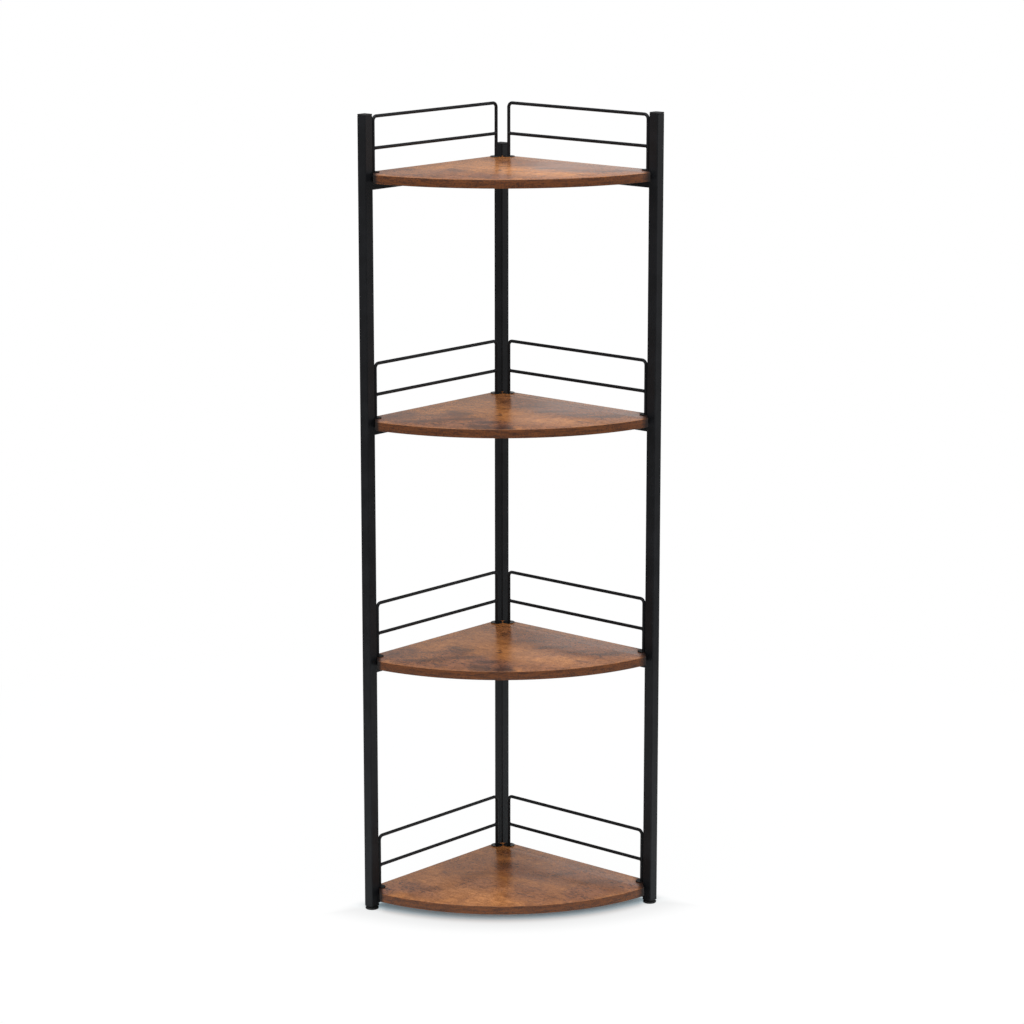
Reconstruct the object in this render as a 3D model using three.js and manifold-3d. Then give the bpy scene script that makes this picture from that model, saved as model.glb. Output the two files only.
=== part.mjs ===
// Corner shelf unit: three square-tube posts, four quarter-round boards on crossbars,
// bent-wire guard rails along both wall sides, and levelling feet.
// Millimetres, +Z up. The origin is on the floor, on the axis of the back post.
// The left wall side runs along -Y and the right wall side along +X.

import * as THREE from 'three';
import { mergeVertices } from 'three/addons/utils/BufferGeometryUtils.js';
import Module from 'manifold-3d';

const degree = Math.PI / 180;

// Driving dimensions of the frame
const frontPostReach = 284.6;      // back post's axis to a front post's axis, along the wall
const postSide = 15;
const postCorner = 1.6;
const postWall = 1;
const tierPitch = 338.4;           // from one board to the next
const tierCount = 4;
const frontPostAboveBoard = 79.6;  // top of a front post above the top board
const backPostAboveBoard = 17.6;
const barWidth = 10;
const barHeight = 12;
const barWall = 1;
const barCorner = 1.4;

// Boards
const boardThickness = 12;
const boardPastPost = 18.9;        // front edge's arc past the front posts' inner faces
const boardSetback = 2.5;          // straight edge inside the crossbars' outer faces
const boardBackRound = 25;         // corner in front of the back post
const boardTipRound = 4;           // corner between the slanted end and the front arc
const boardTipSlant = 46 * degree; // slanted end beside a front post, from the wall side
const boardEase = 0.6;             // eased edge of the laminate

// Tabs under the boards, with their screws
const tabLength = 26;
const tabReach = 16;
const tabThickness = 2;
const screwRadius = 1.75;
const screwLength = 10;            // from the tab's underside
const screwPoint = 2.6;
const screwHeadRadius = 3.6;
const screwHeadHeight = 2.2;

// Guard rails
const wireRadius = 2.5;
const wireBend = 6.5;              // centre line
const railInset = 9.4;             // wire's plane inside the board's straight edge
const railRearPlace = 22;          // rear leg, along the wall from the back post's axis
const railTopHeight = 75.7;        // above the board
const railMidHeight = 32.7;
const legDepth = 7;                // leg's length inside the board
const legPostGap = 1.4;            // between a front leg and the front post

// Collars round the legs on the boards
const collarRadius = 8.4;
const collarThickness = 1.2;
const collarEase = 0.4;

// Post caps, foot inserts and levelling feet
const capThickness = 2.4;
const capEase = 0.8;
const insertFlange = 1;
const plugDepth = 13;
const plugCore = 9;                // side of the square core
const plugCorner = 0.7;
const finThickness = 1.4;
const finCount = 2;
const footPadRadius = 9.4;
const footPadHeight = 3.5;
const footPadEdge = 1.2;
const footPadSlope = 0.6;          // rise of the pad's top from its edge to the hub
const footHubRadius = 6.2;
const footHubHeight = 0.5;
const studRadius = 3;
const studLength = 21;             // above the hub

// Clearances
const seatGap = 0.3;               // between flat faces that rest on each other
const fitGap = 0.3;                // between round or fitted faces
const overrun = 2;                 // how far a cutting shape runs past what it cuts

// Fineness of round forms
const cornerSegments = 3;
const barSegments = 2;
const plugSegments = 1;
const arcSegments = 36;
const roundSegments = 7;
const wireSides = 8;
const bendSteps = 5;
const holeSides = 12;
const turnedSides = 11;
const collarSides = 16;
const footSides = 18;

// Looks
const blackSteel = { color: 0x1b1b1d, roughness: 0.42, metalness: 0.3 };
const blackPlastic = { color: 0x121213, roughness: 0.5, metalness: 0 };
const zincSteel = { color: 0x8d8f92, roughness: 0.35, metalness: 0.9 };
const rusticWood = { color: 0x80502f, roughness: 0.4, metalness: 0 };

// Places worked out from the sizes
const half = postSide / 2;
const barInner = half;                               // flush with the back post's inner face
const barMiddle = barInner - barWidth / 2;
const frontPostInset = postSide - barWidth;          // front post's outer face flush with the bar's
const frontPostInner = frontPostReach - half;        // its face towards the back post
const boardEdge = barInner - barWidth + boardSetback;
const boardRadius = frontPostInner + boardPastPost;  // about the back post's axis
const postBottom = footPadHeight + footHubHeight + seatGap + insertFlange;
const boardUnderside = postBottom + barHeight + seatGap;
const boardTopFirst = boardUnderside + boardThickness;
const boardTopLast = boardTopFirst + (tierCount - 1) * tierPitch;
const railPlane = boardEdge + railInset;
const railFrontPlace = frontPostInner - legPostGap - wireRadius;
const tabHolePlace = barInner + tabReach / 2;
const barStart = half + seatGap;
const barLength = frontPostInner - seatGap - barStart;
const tabPlace = barLength / 2;

const kernel = await Module();
kernel.setup();

// Solids from geometry, and back
function toSolid(geometry) {
  const bare = geometry.clone();
  bare.deleteAttribute('normal');
  bare.deleteAttribute('uv');
  const merged = mergeVertices(bare);
  const mesh = new kernel.Mesh({
    numProp: 3,
    vertProperties: merged.attributes.position.array,
    triVerts: new Uint32Array(merged.index.array),
  });
  return new kernel.Manifold(mesh);
}

function toGeometry(solid) {
  const mesh = solid.getMesh();
  const geometry = new THREE.BufferGeometry();
  geometry.setAttribute('position', new THREE.BufferAttribute(mesh.vertProperties, 3));
  geometry.setIndex(new THREE.BufferAttribute(mesh.triVerts, 1));
  geometry.computeVertexNormals();
  return geometry;
}

function join(first, ...others) {
  return toGeometry(others.reduce((sum, next) => sum.add(toSolid(next)), toSolid(first)));
}

function cut(body, ...tools) {
  return toGeometry(tools.reduce((rest, tool) => rest.subtract(toSolid(tool)), toSolid(body)));
}

// A rod along Z between two heights
function rod(radius, low, high, sides) {
  const geometry = new THREE.CylinderGeometry(radius, radius, high - low, sides);
  return geometry.rotateX(Math.PI / 2).translate(0, 0, (low + high) / 2);
}

// A turned piece about Z from a profile of [radius, height] pairs
function turned(profile, sides) {
  const points = profile.map(([radius, height]) => new THREE.Vector2(radius, height));
  return new THREE.LatheGeometry(points, sides).rotateX(Math.PI / 2);
}

// A rectangle with round corners, centred, drawn into a shape or a path
function roundedRectangle(outline, width, height, corner) {
  const x = width / 2 - corner;
  const y = height / 2 - corner;
  outline.absarc(x, y, corner, 0, Math.PI / 2);
  outline.absarc(-x, y, corner, Math.PI / 2, Math.PI);
  outline.absarc(-x, -y, corner, Math.PI, 1.5 * Math.PI);
  outline.absarc(x, -y, corner, 1.5 * Math.PI, 2 * Math.PI);
  outline.closePath();
  return outline;
}

// A rectangular tube along Z, open at both ends
function tube(width, height, corner, wall, length, segments) {
  const section = roundedRectangle(new THREE.Shape(), width, height, corner);
  const bore = new THREE.Path();
  roundedRectangle(bore, width - 2 * wall, height - 2 * wall, corner - wall);
  section.holes.push(bore);
  const settings = { depth: length, bevelEnabled: false, curveSegments: segments };
  return new THREE.ExtrudeGeometry(section, settings);
}

// A square plate along Z between two heights
function plate(side, corner, low, high, segments = plugSegments) {
  const section = roundedRectangle(new THREE.Shape(), side, side, corner);
  const settings = { depth: high - low, bevelEnabled: false, curveSegments: segments };
  return new THREE.ExtrudeGeometry(section, settings).translate(0, 0, low);
}

// The two wall sides: a place across and along the wall becomes x and y
const sides = {
  left: { place: (across, along) => [across, -along], turn: -Math.PI / 2, inward: 1 },
  right: { place: (across, along) => [along, -across], turn: 0, inward: -1 },
};

const unit = new THREE.Group();

function addPiece(name, geometry, finish, x, y, z, turn = 0) {
  const mesh = new THREE.Mesh(geometry, new THREE.MeshStandardMaterial(finish));
  mesh.name = name;
  mesh.position.set(x, y, z);
  mesh.rotation.z = turn;
  unit.add(mesh);
}

// Posts
function postGeometry(top) {
  const length = top - capThickness - postBottom;
  return tube(postSide, postSide, postCorner, postWall, length, cornerSegments);
}

// Crossbars lie along X, from the back post to the front post, with the tab on one side
function barGeometry(inward) {
  const body = tube(barHeight, barWidth, barCorner, barWall, barLength, barSegments);
  body.rotateY(Math.PI / 2);
  const tabDepth = tabReach + barWall;
  const tabMiddle = inward * (barWidth / 2 + tabReach - tabDepth / 2);
  const tab = new THREE.BoxGeometry(tabLength, tabDepth, tabThickness);
  tab.translate(tabPlace, tabMiddle, (barHeight - tabThickness) / 2);
  const screwHole = rod(screwRadius + fitGap, -barHeight, barHeight, holeSides);
  return cut(join(body, tab), screwHole.translate(tabPlace, inward * (barWidth + tabReach) / 2, 0));
}

// The round at a board's tip. It touches the front edge's arc from inside, and the slanted
// end, which passes the front post's round corner with the fitting clearance.
function tipRound() {
  const across = frontPostInset + half - postCorner;
  const along = frontPostInner + postCorner;
  const offset = postCorner + fitGap + boardTipRound;
  const startAcross = across + offset * Math.cos(boardTipSlant);
  const startAlong = along - offset * Math.sin(boardTipSlant);
  const reach = boardRadius - boardTipRound;
  const forward = startAcross * Math.sin(boardTipSlant) + startAlong * Math.cos(boardTipSlant);
  const room = reach ** 2 - startAcross ** 2 - startAlong ** 2;
  const run = Math.sqrt(forward ** 2 + room) - forward;
  const centreAcross = startAcross + run * Math.sin(boardTipSlant);
  const centreAlong = startAlong + run * Math.cos(boardTipSlant);
  return { across: centreAcross, along: centreAlong, angle: Math.atan2(centreAcross, centreAlong) };
}

// The board's outline: two straight edges, a round back corner, a square end against
// each front post, a slanted end beside it, a small round, and the front arc
function boardOutline(inset) {
  const tip = tipRound();
  const edge = boardEdge + inset;
  const end = frontPostInner - seatGap - inset;
  const round = boardTipRound - inset;
  const slantAcross = tip.across - round * Math.cos(boardTipSlant);
  const slantAlong = tip.along + round * Math.sin(boardTipSlant);
  const bend = slantAcross - (slantAlong - end) * Math.tan(boardTipSlant);
  const centre = boardEdge + boardBackRound;
  const fromSlant = Math.PI + boardTipSlant;
  const fromFront = 1.5 * Math.PI + tip.angle;
  const outline = new THREE.Shape();
  outline.moveTo(edge, -centre);
  outline.lineTo(edge, -end);
  outline.lineTo(bend, -end);
  outline.absarc(tip.across, -tip.along, round, fromSlant, fromFront);
  outline.absarc(0, 0, boardRadius - inset, fromFront, 2 * Math.PI - tip.angle);
  outline.absarc(tip.along, -tip.across, round, -tip.angle, Math.PI / 2 - boardTipSlant);
  outline.lineTo(end, -bend);
  outline.lineTo(end, -edge);
  outline.lineTo(centre, -edge);
  outline.absarc(centre, -centre, boardBackRound - inset, Math.PI / 2, Math.PI);
  return outline;
}

// Points of the outline: the front arc takes more steps than the small rounds
function outlinePoints(inset) {
  const points = [];
  for (const curve of boardOutline(inset).curves) {
    let steps = 1;
    if (curve.isEllipseCurve) steps = curve.xRadius > boardRadius / 2 ? arcSegments : roundSegments;
    for (const point of curve.getPoints(steps)) {
      const last = points[points.length - 1];
      if (!last || last.distanceTo(point) > fitGap / 2) points.push(point);
    }
  }
  if (points[0].distanceTo(points[points.length - 1]) < fitGap / 2) points.pop();
  return points;
}

// A board as stacked rings of its outline: eased edge, side, eased edge
function boardGeometry() {
  const rings = [
    [boardEase, 0], [0, boardEase],
    [0, boardThickness - boardEase], [boardEase, boardThickness],
  ];
  const positions = [];
  const outlines = rings.map(([inset]) => outlinePoints(inset));
  outlines.forEach((points, ring) => {
    points.forEach((point) => positions.push(point.x, point.y, rings[ring][1]));
  });
  const count = outlines[0].length;
  const faces = [];
  for (let ring = 0; ring < rings.length - 1; ring += 1) {
    for (let i = 0; i < count; i += 1) {
      const low = ring * count + i;
      const lowNext = ring * count + (i + 1) % count;
      faces.push(low, lowNext, lowNext + count, low, lowNext + count, low + count);
    }
  }
  const topStart = (rings.length - 1) * count;
  for (const [a, b, c] of THREE.ShapeUtils.triangulateShape(outlines[0], [])) {
    faces.push(c, b, a, topStart + a, topStart + b, topStart + c);
  }
  const geometry = new THREE.BufferGeometry();
  geometry.setAttribute('position', new THREE.Float32BufferAttribute(positions, 3));
  geometry.setIndex(faces);
  return cut(geometry, ...boardHoles());
}

// Blind holes for the rails' legs from above and for the screws from below
function boardHoles() {
  const holes = [];
  const low = boardThickness - legDepth - fitGap;
  const top = boardThickness + overrun;
  const screwDepth = screwLength - tabThickness + fitGap;
  for (const side of Object.values(sides)) {
    for (const along of [railRearPlace, railFrontPlace]) {
      const hole = rod(wireRadius + fitGap, low, top, holeSides);
      holes.push(hole.translate(...side.place(railPlane, along), 0));
    }
    const pilot = rod(screwRadius + fitGap, -overrun, screwDepth, holeSides);
    holes.push(pilot.translate(...side.place(tabHolePlace, barStart + tabPlace), 0));
  }
  return holes;
}

// A path whose stations are given one by one, each with its own direction
class WirePath extends THREE.Curve {
  constructor(stations) {
    super();
    this.stations = stations;
  }

  station(t) {
    return this.stations[Math.round(t * (this.stations.length - 1))];
  }

  getPoint(t, target = new THREE.Vector3()) {
    return target.copy(this.station(t).point);
  }

  getPointAt(t, target) {
    return this.getPoint(t, target);
  }

  getTangentAt(t, target = new THREE.Vector3()) {
    return target.copy(this.station(t).direction);
  }
}

// Centre line of a guard rail in its own plane: up the rear leg, round a bend, along the top,
// round a bend and down the front leg
function railStations() {
  const stations = [];
  const station = (x, z, angle) => stations.push({
    point: new THREE.Vector3(x, 0, z),
    direction: new THREE.Vector3(Math.cos(angle), 0, Math.sin(angle)),
  });
  const bendHeight = railTopHeight - wireBend;
  station(railRearPlace, -legDepth, Math.PI / 2);
  for (let step = 0; step <= bendSteps; step += 1) {
    const angle = Math.PI / 2 * (1 - step / bendSteps);
    const x = railRearPlace + wireBend * (1 - Math.sin(angle));
    station(x, bendHeight + wireBend * Math.cos(angle), angle);
  }
  for (let step = 0; step <= bendSteps; step += 1) {
    const angle = -Math.PI / 2 * step / bendSteps;
    const x = railFrontPlace - wireBend * (1 + Math.sin(angle));
    station(x, bendHeight + wireBend * Math.cos(angle), angle);
  }
  station(railFrontPlace, -legDepth, -Math.PI / 2);
  return stations;
}

function railGeometry() {
  const section = new THREE.Shape();
  for (let i = 0; i < wireSides; i += 1) {
    const angle = 2 * Math.PI * (i + 0.5) / wireSides;
    const x = wireRadius * Math.cos(angle);
    const y = wireRadius * Math.sin(angle);
    if (i === 0) section.moveTo(x, y);
    else section.lineTo(x, y);
  }
  section.closePath();
  const stations = railStations();
  const path = new WirePath(stations);
  const settings = { steps: stations.length - 1, extrudePath: path, bevelEnabled: false };
  const hoop = new THREE.ExtrudeGeometry(section, settings);
  const middle = rod(wireRadius, railRearPlace, railFrontPlace, wireSides);
  return join(hoop, middle.rotateZ(Math.PI / wireSides).rotateY(Math.PI / 2)
    .translate(0, 0, railMidHeight));
}

// A collar round a leg, and one with a flat that clears the front post
function collarGeometry(trimmed) {
  const bore = wireRadius + fitGap;
  const collar = turned([
    [bore, seatGap], [collarRadius, seatGap],
    [collarRadius, collarThickness - collarEase],
    [collarRadius - collarEase, collarThickness],
    [bore, collarThickness], [bore, seatGap],
  ], collarSides);
  if (!trimmed) return collar;
  const length = 2 * collarRadius;
  const block = new THREE.BoxGeometry(length, length, length);
  const flat = frontPostInner - fitGap - railFrontPlace;
  return cut(collar, block.translate(flat + length / 2, 0, 0));
}

// The fins of a plug below z = 0 that fits the bore of a post
function fins() {
  const finSide = postSide - 2 * (postWall + fitGap);
  const pieces = [];
  const pitch = plugDepth / finCount;
  for (let fin = 0; fin < finCount; fin += 1) {
    const top = -(fin + 0.5) * pitch;
    pieces.push(plate(finSide, plugCorner, top - finThickness, top));
  }
  return pieces;
}

// A cap with an eased rim closes the top of a post
function capGeometry() {
  const shape = roundedRectangle(new THREE.Shape(), postSide - 2 * capEase,
    postSide - 2 * capEase, postCorner - capEase);
  const settings = {
    depth: capThickness - capEase, bevelEnabled: true, bevelThickness: capEase,
    bevelSize: capEase, bevelSegments: 1, curveSegments: cornerSegments,
  };
  const rim = new THREE.ExtrudeGeometry(shape, settings);
  const top = cut(rim, plate(2 * postSide, postCorner, -postSide, seatGap));
  const core = plate(plugCore, plugCorner, -plugDepth, capThickness / 2);
  return join(top, core, ...fins());
}

// An insert with a bore for the foot's stud closes the bottom of a post
function insertGeometry() {
  const flange = plate(postSide, postCorner, -insertFlange, -seatGap, cornerSegments);
  const core = plate(plugCore, plugCorner, -insertFlange / 2, plugDepth);
  const grips = fins().map((fin) => fin.rotateX(Math.PI));
  const bore = rod(studRadius + fitGap, -insertFlange - overrun, plugDepth + overrun, holeSides);
  return cut(join(flange, core, ...grips), bore);
}

// A levelling foot: round pad, hub and stud, turned as one about Z
function footGeometry() {
  const hubTop = footPadHeight + footHubHeight;
  const edge = footPadEdge;
  const shoulder = footPadHeight - footPadSlope;
  return turned([
    [0, 0], [footPadRadius - edge, 0],
    [footPadRadius - edge / 3, edge / 3], [footPadRadius, edge],
    [footPadRadius, shoulder - edge],
    [footPadRadius - edge / 3, shoulder - edge / 3],
    [footPadRadius - edge, shoulder],
    [footHubRadius, footPadHeight], [footHubRadius, hubTop],
    [studRadius, hubTop], [studRadius, hubTop + studLength - edge],
    [studRadius - edge / 2, hubTop + studLength], [0, hubTop + studLength],
  ], footSides);
}

// A pan-head screw that points up, its head under z = 0
function screwGeometry() {
  return turned([
    [0, -screwHeadHeight], [screwHeadRadius / 2, -screwHeadHeight],
    [screwHeadRadius, -screwHeadHeight / 2], [screwHeadRadius, -seatGap],
    [screwRadius, -seatGap], [screwRadius, screwLength - screwPoint], [0, screwLength],
  ], turnedSides);
}

// Posts with their caps, inserts and feet
const posts = {
  back: { x: 0, y: 0, top: boardTopLast + backPostAboveBoard },
  left: { x: frontPostInset, y: -frontPostReach, top: boardTopLast + frontPostAboveBoard },
  right: { x: frontPostReach, y: -frontPostInset, top: boardTopLast + frontPostAboveBoard },
};
for (const [name, post] of Object.entries(posts)) {
  addPiece(`${name}_post`, postGeometry(post.top), blackSteel, post.x, post.y, postBottom);
  addPiece(`${name}_top_cap`, capGeometry(), blackPlastic, post.x, post.y, post.top - capThickness);
  addPiece(`${name}_foot_insert`, insertGeometry(), blackPlastic, post.x, post.y, postBottom);
  addPiece(`${name}_foot`, footGeometry(), blackPlastic, post.x, post.y, 0);
}

// Tiers, numbered from the floor up
for (let tier = 0; tier < tierCount; tier += 1) {
  const number = tier + 1;
  const lift = tier * tierPitch;
  const barZ = postBottom + barHeight / 2 + lift;
  const topZ = boardTopFirst + lift;
  addPiece(`shelf_board_${number}`, boardGeometry(), rusticWood, 0, 0, boardUnderside + lift);
  for (const [name, side] of Object.entries(sides)) {
    const [barX, barY] = side.place(barMiddle, barStart);
    addPiece(`${name}_bar_${number}`, barGeometry(side.inward), blackSteel, barX, barY, barZ, side.turn);
    const [railX, railY] = side.place(railPlane, 0);
    addPiece(`${name}_guard_rail_${number}`, railGeometry(), blackSteel, railX, railY, topZ, side.turn);
    const places = { rear: railRearPlace, front: railFrontPlace };
    for (const [end, along] of Object.entries(places)) {
      const collar = collarGeometry(end === 'front');
      const [x, y] = side.place(railPlane, along);
      addPiece(`${name}_${end}_collar_${number}`, collar, blackPlastic, x, y, topZ, side.turn);
    }
    const [screwX, screwY] = side.place(tabHolePlace, barStart + tabPlace);
    const screwZ = postBottom + barHeight - tabThickness + lift;
    addPiece(`${name}_board_screw_${number}`, screwGeometry(), zincSteel, screwX, screwY, screwZ);
  }
}

export default unit;
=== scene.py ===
import math

import bpy
import numpy as np
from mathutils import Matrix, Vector
from mathutils.geometry import tessellate_polygon


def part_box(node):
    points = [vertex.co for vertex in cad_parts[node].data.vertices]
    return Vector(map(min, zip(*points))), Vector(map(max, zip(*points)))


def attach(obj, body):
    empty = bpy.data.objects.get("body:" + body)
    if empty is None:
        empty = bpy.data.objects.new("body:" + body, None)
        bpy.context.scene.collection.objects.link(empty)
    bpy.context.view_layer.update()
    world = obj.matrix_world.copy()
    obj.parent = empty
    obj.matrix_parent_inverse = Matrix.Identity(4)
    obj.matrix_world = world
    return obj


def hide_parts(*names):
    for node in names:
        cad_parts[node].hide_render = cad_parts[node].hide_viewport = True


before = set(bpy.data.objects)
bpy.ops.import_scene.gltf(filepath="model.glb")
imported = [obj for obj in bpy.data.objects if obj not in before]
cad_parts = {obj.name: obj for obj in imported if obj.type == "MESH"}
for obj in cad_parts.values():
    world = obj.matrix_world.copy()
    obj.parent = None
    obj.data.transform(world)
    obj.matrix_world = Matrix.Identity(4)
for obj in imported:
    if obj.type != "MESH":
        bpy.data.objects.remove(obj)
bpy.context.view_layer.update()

mm = 0.001
noiseMiddle = 0.5  # the value that noise varies about
tierNumbers = (1, 2, 3, 4)  # from the floor up
sideNames = ("left", "right")
postNames = ("back", "left", "right")
railEnds = ("rear", "front")


# Meshes: points are numpy grids of rings, and a part is its points and its faces

def makeObject(name, points, faces, sharpDegrees=32):
    # A mesh object at the origin, smooth but for edges over the sharp angle
    mesh = bpy.data.meshes.new(name)
    mesh.from_pydata(np.asarray(points).tolist(), [], faces)
    mesh.polygons.foreach_set("use_smooth", np.ones(len(mesh.polygons), dtype=bool))
    mesh.set_sharp_from_angle(angle=math.radians(sharpDegrees))
    mesh.validate()
    piece = bpy.data.objects.new(name, mesh)
    bpy.context.scene.collection.objects.link(piece)
    return piece


def addPiece(node, part, material, body="frame", place=(0, 0, 0), sharpDegrees=32):
    # A dressed piece in its node's place, on the body that carries the node
    points, faces = part
    piece = makeObject(f"{node}_visual", points + np.asarray(place), faces, sharpDegrees)
    piece.data.materials.append(material)
    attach(piece, body)
    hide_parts(node)
    return piece


def ringQuads(ringCount, count, closed=False, start=0):
    # Quads between neighbouring rings of count points, facing out on rings that run upwards
    rings = np.arange(ringCount if closed else ringCount - 1)[:, None]
    here = np.arange(count)[None, :]
    after = (here + 1) % count
    low = start + rings * count
    high = start + (rings + 1) % ringCount * count
    return np.stack([low + here, low + after, high + after, high + here], -1).reshape(-1, 4)


def closedRings(rings):
    # A solid of rings with flat ends
    ringCount, count = rings.shape[:2]
    last = (ringCount - 1) * count
    ends = [list(range(count))[::-1], list(range(last, last + count))]
    return rings.reshape(-1, 3), ringQuads(ringCount, count).tolist() + ends


def loopedRings(rings):
    # A hollow solid: its outer rings run up, its inner ones down, and the last joins the first
    return rings.reshape(-1, 3), ringQuads(*rings.shape[:2], closed=True).tolist()


def atHeight(outline, z):
    # A ring: the outline's points (x, y), all at one height
    return np.column_stack([outline, np.full(len(outline), z)])


def circlePoints(radius, sides):
    # The radius times the cosine and sine of even angles
    angles = np.arange(sides) * 2 * math.pi / sides
    return radius * np.stack([np.cos(angles), np.sin(angles)], -1)


def turnedRings(profile, sides):
    # Rings of a turned piece about Z: each profile row, a radius and a height, goes round the circle
    return np.array([atHeight(circlePoints(radius, sides), z) for radius, z in profile])


def roundCorner(centre, radius, start, end, steps):
    # Points of an arc, in degrees from start to end
    angles = np.radians(np.linspace(start, end, steps + 1))
    return np.stack([centre[0] + radius * np.cos(angles), centre[1] + radius * np.sin(angles)], -1)


def roundedSection(width, height, radius, steps, support):
    # Outline of a rounded rectangle, anticlockwise, with a point on each flat near its rounds
    corners = []
    for quarter, (signX, signY) in enumerate(((1, 1), (-1, 1), (-1, -1), (1, -1))):
        centre = (signX * (width / 2 - radius), signY * (height / 2 - radius))
        arc = roundCorner(centre, radius, 90 * quarter, 90 * quarter + 90, steps)
        angle = math.radians(90 * quarter)
        before = arc[0] + support * np.array([math.sin(angle), -math.cos(angle)])
        after = arc[-1] + support * np.array([-math.cos(angle), -math.sin(angle)])
        corners.append(np.vstack([before, arc, after]))
    return np.vstack(corners)


def tubeRings(values, width, height, length):
    # Rings of an open tube along Z with eased rims. Where a bead is set, its outline falls away from
    # each end as the square of what is left of the bead's length
    wall, ease, corner = values["wall"], values["ease"], values["corner"]
    t = np.linspace(0, 1, values["beadSteps"] + 1)
    rise = np.stack([-values["bead"] * (1 - t) ** 2, ease + t * values["beadLength"]], -1)
    fall = rise[::-1] * (1, -1) + (0, length)
    rim = 0 if values["bead"] else ease
    profile = np.vstack([(rim, 0), rise, fall, (rim, length), (wall - ease, length),
                         (wall, length - ease), (wall, ease), (wall - ease, 0)])
    rings = []
    for inset, z in profile:
        section = roundedSection(width - 2 * inset, height - 2 * inset,
                                 max(corner - inset, values["leastCorner"]),
                                 values["cornerSteps"], values["support"])
        rings.append(atHeight(section, z))
    return np.array(rings)


def joinParts(*parts):
    # One part from several
    points, faces, start = [], [], 0
    for partPoints, partFaces in parts:
        points.append(partPoints)
        faces += [[start + int(i) for i in face] for face in partFaces]
        start += len(partPoints)
    return np.vstack(points), faces


def boxBase(low, high):
    # Centre of a box's lower face
    return (low.x + high.x) / 2, (low.y + high.y) / 2, low.z


# A side's own coordinates run along its wall from the back post, outwards and up. They are the
# row frame's on the right, and the left side mirrors them

def sideBox(node, side):
    low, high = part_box(node)
    if side == "right":
        return low, high
    return Vector((-high.y, -high.x, low.z)), Vector((-low.y, -low.x, high.z))


def sidePlace(along, out, side):
    return (along, out) if side == "right" else (-out, -along)


def sidePart(part, side):
    points, faces = part
    x, y = sidePlace(points[:, 0], points[:, 1], side)
    if side == "left":
        faces = [list(face)[::-1] for face in faces]
    return np.stack([x, y, points[:, 2]], -1), faces


# Shader trees

class Socket:
    # An output socket whose arithmetic adds Math nodes

    def __init__(self, tree, link):
        self.tree = tree
        self.link = link

    def math(self, operation, *others, clamp=False):
        settings = {"operation": operation, "use_clamp": clamp}
        return self.tree.add("ShaderNodeMath", settings, self, *others)

    def __add__(self, other):
        return self.math("ADD", other)

    __radd__ = __add__

    def __sub__(self, other):
        return self.math("SUBTRACT", other)

    def __rsub__(self, other):
        return self.tree.add("ShaderNodeMath", {"operation": "SUBTRACT"}, other, self)

    def __mul__(self, other):
        return self.math("MULTIPLY", other)

    __rmul__ = __mul__

    def larger(self, other):
        return self.math("MAXIMUM", other)

    def clamped(self):
        return self.math("ADD", 0.0, clamp=True)

    def line(self, base, gain):
        # The base and the gain times the value
        return self * gain + base

    def ramp(self, low, high):
        # 0 below low, 1 above high, smooth between
        settings = {"interpolation_type": "SMOOTHSTEP"}
        return self.tree.add("ShaderNodeMapRange", settings, self, low, high, 0.0, 1.0)


class Tree:
    # The node tree of a material or a world, with one method that adds any node

    def __init__(self, owner, outputKind="ShaderNodeOutputMaterial"):
        self.owner = owner
        owner.use_nodes = True
        self.nodes = owner.node_tree.nodes
        self.links = owner.node_tree.links
        self.nodes.clear()
        self.output = self.nodes.new(outputKind)

    def put(self, node, key, value):
        if isinstance(value, Socket):
            self.links.new(value.link, node.inputs[key])
        elif value is not None:
            node.inputs[key].default_value = value

    def add(self, kind, settings=None, *values, output=0, **named):
        node = self.nodes.new(kind)
        for key, value in (settings or {}).items():
            setattr(node, key, value)
        for index, value in enumerate(values):
            self.put(node, index, value)
        for key, value in named.items():
            self.put(node, key.replace("_", " "), value)
        return Socket(self, node.outputs[output])

    def finish(self, shader):
        self.links.new(shader.link, self.output.inputs["Surface"])
        return self.owner

    def objectCoordinates(self):
        return self.add("ShaderNodeTexCoord", output="Object")

    def vector(self, operation, *vectors, output=0):
        return self.add("ShaderNodeVectorMath", {"operation": operation}, *vectors, output=output)

    def scaled(self, vector, x, y, z):
        return self.vector("MULTIPLY", vector, (x, y, z))

    def moved(self, vector, x, y, z):
        return self.vector("ADD", vector, (x, y, z))

    def length(self, vector):
        return self.vector("LENGTH", vector, output="Value")

    def along(self, vector, axis):
        return self.add("ShaderNodeSeparateXYZ", None, vector, output=axis)

    def diagonal(self, vector, width=1.0):
        # Axes turned 45 degrees: X, times the width, runs from the left tip to the right one, and Y to
        # the back corner
        return self.add("ShaderNodeMapping", {"vector_type": "TEXTURE"}, Vector=vector,
                        Rotation=(0, 0, math.pi / 4), Scale=(1 / width, 1, 1))

    def noise(self, vector, scale, detail, roughness=0.5, distortion=0.0, output=0):
        return self.add("ShaderNodeTexNoise", None, Vector=vector, Scale=scale, Detail=detail,
                        Roughness=roughness, Distortion=distortion, output=output)

    def mix(self, share, low, high, blend="MIX"):
        # The Mix node's colour sockets follow its factor and five others
        settings = {"data_type": "RGBA", "blend_type": blend, "clamp_factor": True}
        return self.add("ShaderNodeMix", settings, share, *(None,) * 5, low, high, output=2)

    def bump(self, height, distance, strength=1.0):
        return self.add("ShaderNodeBump", None, Height=height, Distance=distance, Strength=strength)

    def surface(self, colour, roughness, normal, **named):
        return self.finish(self.add("ShaderNodeBsdfPrincipled", None, Base_Color=colour,
                                    Roughness=roughness, Normal=normal, **named))


def greyColour(level):
    return level, level, level, 1


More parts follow.
